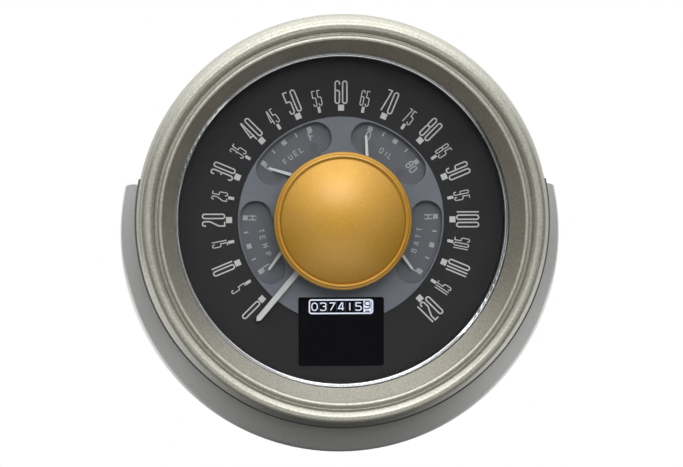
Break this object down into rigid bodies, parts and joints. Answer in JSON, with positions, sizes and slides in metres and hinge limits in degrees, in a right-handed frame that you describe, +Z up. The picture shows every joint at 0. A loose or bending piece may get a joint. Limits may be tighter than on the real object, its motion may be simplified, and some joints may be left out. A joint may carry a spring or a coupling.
{
  "type": "digital instrument cluster",
  "caption": "Round dash-pod instrument cluster with a speed pointer, small recessed gauges, a gold dome and a display window, in a rolled bezel over a flared lower cowl.",
  "frame": {"origin": "centre of the four dash studs, in the plane of the dash panel, on the dial axis", "axes": "+Y along the dial axis into the dash, so the face looks along -Y; +Z up; +X to the reader's right"},
  "size_m": [0.2272, 0.0862, 0.2262],
  "materials": {
    "bezel_paint": "champagne silver paint, fine metallic grain, satin",
    "cowl_paint": "silver grey paint, smooth satin",
    "black_plastic": "black moulded ABS, matt",
    "dark_wall": "black moulded ABS, satin",
    "zinc_steel": "zinc-plated steel",
    "brass_steel": "yellow-passivated steel",
    "clear_lens": "clear polycarbonate",
    "gasket_rubber": "matt",
    "gold_anodised": "gold anodised, satin",
    "polished_ring": "polished",
    "dial_black": "printed matt black",
    "dial_grey": "printed satin grey",
    "sub_grey": "printed satin dark grey",
    "smoked_window": "smoked acrylic, glossy",
    "display_frame": "display module",
    "clear_acrylic": "clear acrylic",
    "board_green": "green solder mask",
    "chip_black": "moulded packages",
    "capacitor_can": "plain can",
    "lamp_white": "lamp body",
    "contact_gold": "plated contacts",
    "motor_cream": "moulded motor case",
    "shaft_steel": "ground steel",
    "pointer_silver": "silver-painted blade"
  },
  "bodies": {
    "case": {"bezel": "bezel_paint", "bezel_screws": "zinc_steel", "lower_cowl": "cowl_paint", "housing_cup": "black_plastic", "rear_cover": "zinc_steel", "cover_screws": "zinc_steel", "dash_studs": "brass_steel", "lens": "clear_lens", "lens_gasket": "gasket_rubber", "dome_cap": "gold_anodised", "dome_retainer": "black_plastic", "trim_ring": "polished_ring", "spacer_ring": "dark_wall", "dial_ring": "dial_black", "inner_dial": "dial_grey", "sub_dial": "sub_grey", "display_window": "smoked_window", "display_panel": "display_frame", "display_header": "chip_black", "light_guide": "clear_acrylic", "main_board": "board_green", "board_screws": "zinc_steel", "board_chips": "chip_black", "capacitors": "capacitor_can", "backlight_lamps": "lamp_white", "telltale_lamps": "lamp_white", "data_jack": "black_plastic", "jack_contacts": "contact_gold", "speed_motor": "motor_cream", "fuel_motor": "motor_cream", "oil_motor": "motor_cream", "temp_motor": "motor_cream", "batt_motor": "motor_cream"},
    "speed_hand": {"speed_shaft": "shaft_steel", "speed_pointer": "pointer_silver"},
    "fuel_hand": {"fuel_shaft": "shaft_steel", "fuel_needle": "pointer_silver"},
    "oil_hand": {"oil_shaft": "shaft_steel", "oil_needle": "pointer_silver"},
    "temp_hand": {"temp_shaft": "shaft_steel", "temp_needle": "pointer_silver"},
    "batt_hand": {"batt_shaft": "shaft_steel", "batt_needle": "pointer_silver"}
  },
  "joints": [
    {"name": "speed_sweep", "type": "hinge", "parent": "case", "child": "speed_hand", "pos_m": [0, 0, 0], "axis": [0, 1, 0], "range_deg": [0, 276]},
    {"name": "fuel_sweep", "type": "hinge", "parent": "case", "child": "fuel_hand", "pos_m": [-0.01429, 0, 0.02003], "axis": [0, 1, 0], "range_deg": [0, 74]},
    {"name": "oil_sweep", "type": "hinge", "parent": "case", "child": "oil_hand", "pos_m": [0.01429, 0, 0.02003], "axis": [0, 1, 0], "range_deg": [0, 74]},
    {"name": "temp_sweep", "type": "hinge", "parent": "case", "child": "temp_hand", "pos_m": [-0.02365, 0, -0.00678], "axis": [0, 1, 0], "range_deg": [0, 74]},
    {"name": "batt_sweep", "type": "hinge", "parent": "case", "child": "batt_hand", "pos_m": [0.02365, 0, -0.00678], "axis": [0, -1, 0], "range_deg": [0, 74]}
  ]
}
